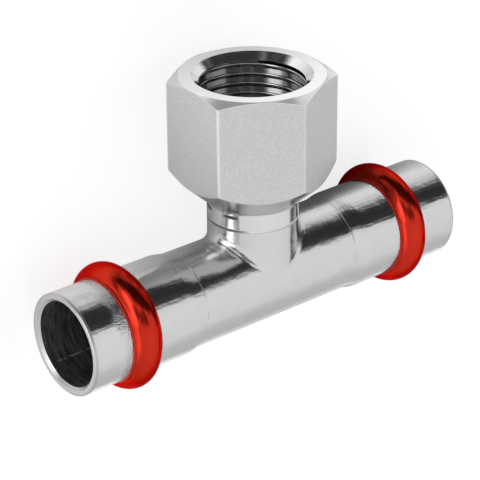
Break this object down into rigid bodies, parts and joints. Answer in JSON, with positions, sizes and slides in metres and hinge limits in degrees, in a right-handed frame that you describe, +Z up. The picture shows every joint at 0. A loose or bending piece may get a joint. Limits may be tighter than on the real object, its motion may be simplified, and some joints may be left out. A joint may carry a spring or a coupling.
{
  "type": "press fit tee with threaded branch",
  "caption": "Press fit tee in bright steel with a red sleeve over the bead at each end and a hexagonal branch with a female pipe thread.",
  "frame": {"origin": "on the floor, in the middle of the footprint of the tee as it lies", "axes": "+X along the run towards the right mouth, +Y the way the branch points seen from above, +Z up"},
  "size_m": [0.0834, 0.0514, 0.032],
  "materials": {
    "drawn_steel": "bright drawn steel with a thin zinc coating",
    "turned_steel": "satin turned steel with a thin zinc coating",
    "seal_rubber": "smooth black rubber",
    "red_film": "glossy see-through red film over bright steel"
  },
  "bodies": {
    "root": {"tee_body": "drawn_steel", "threaded_socket": "turned_steel", "left_seal_ring": "seal_rubber", "right_seal_ring": "seal_rubber", "left_press_indicator": "red_film", "right_press_indicator": "red_film"}
  },
  "joints": []
}
